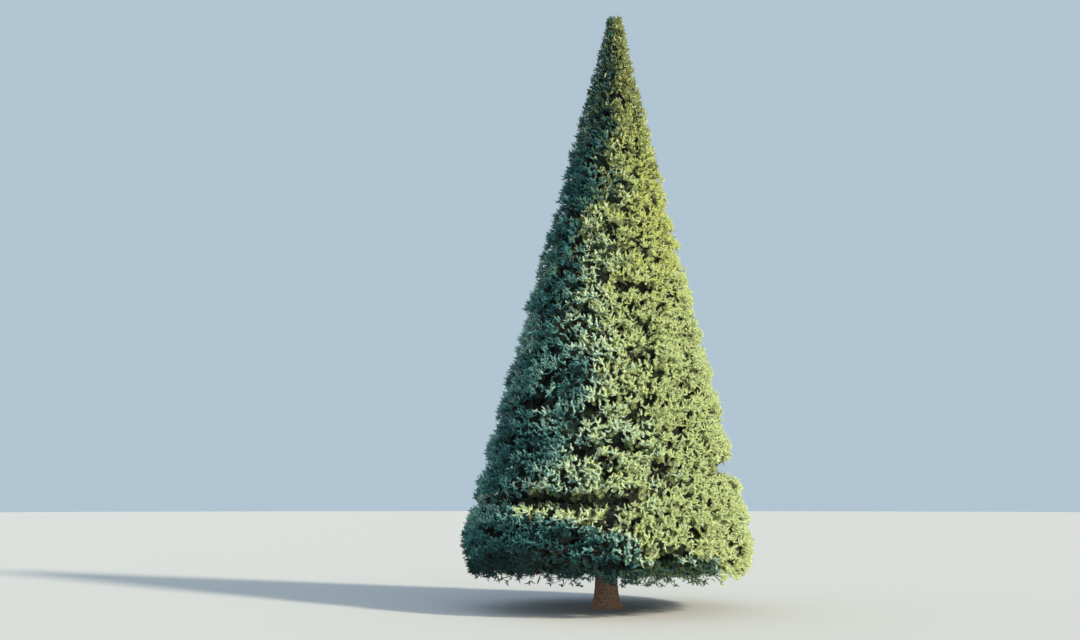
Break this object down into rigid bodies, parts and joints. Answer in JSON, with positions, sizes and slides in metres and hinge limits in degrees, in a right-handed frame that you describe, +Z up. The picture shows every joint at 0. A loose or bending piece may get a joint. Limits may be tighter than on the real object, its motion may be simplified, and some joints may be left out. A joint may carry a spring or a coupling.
{
  "type": "blue spruce tree",
  "caption": "Tall clipped conifer, a narrow cone of dense blue-green foliage in tiers down to a wide skirt on a short trunk foot, rooted in level ground.",
  "frame": {"origin": "middle of the flat cut under the trunk, at ground level", "axes": "+Z up along the trunk, -Y towards the viewer of the picture, +X to the picture's right, to which the tip leans"},
  "size_m": [4.1236, 4.2181, 9],
  "materials": {
    "bark": "rough scaly grey-brown bark",
    "needles": "matt waxy blue-green needles on clipped shoots, yellower where the sun falls"
  },
  "bodies": {
    "root": {"high_foliage_1": "needles", "high_foliage_2": "needles", "high_foliage_3": "needles", "lower_bough_1": "bark", "lower_bough_2": "bark", "lower_bough_3": "bark", "lower_bough_4": "bark", "lower_bough_5": "bark", "lower_bough_6": "bark", "lower_foliage_1": "needles", "lower_foliage_2": "needles", "lower_foliage_3": "needles", "lower_foliage_4": "needles", "lower_foliage_5": "needles", "lower_foliage_6": "needles", "middle_bough_1": "bark", "middle_bough_2": "bark", "middle_bough_3": "bark", "middle_bough_4": "bark", "middle_bough_5": "bark", "middle_bough_6": "bark", "middle_foliage_1": "needles", "middle_foliage_2": "needles", "middle_foliage_3": "needles", "middle_foliage_4": "needles", "middle_foliage_5": "needles", "middle_foliage_6": "needles", "neck_foliage_1": "needles", "neck_foliage_2": "needles", "skirt_bough_1": "bark", "skirt_bough_2": "bark", "skirt_bough_3": "bark", "skirt_bough_4": "bark", "skirt_bough_5": "bark", "skirt_bough_6": "bark", "skirt_bough_7": "bark", "skirt_foliage_1": "needles", "skirt_foliage_2": "needles", "skirt_foliage_3": "needles", "skirt_foliage_4": "needles", "skirt_foliage_5": "needles", "skirt_foliage_6": "needles", "skirt_foliage_7": "needles", "tip_foliage": "needles", "trunk": "bark", "upper_foliage_1": "needles", "upper_foliage_2": "needles", "upper_foliage_3": "needles", "upper_foliage_4": "needles", "waist_bough_1": "bark", "waist_bough_2": "bark", "waist_bough_3": "bark", "waist_bough_4": "bark", "waist_bough_5": "bark", "waist_foliage_1": "needles", "waist_foliage_2": "needles", "waist_foliage_3": "needles", "waist_foliage_4": "needles", "waist_foliage_5": "needles"}
  },
  "joints": []
}
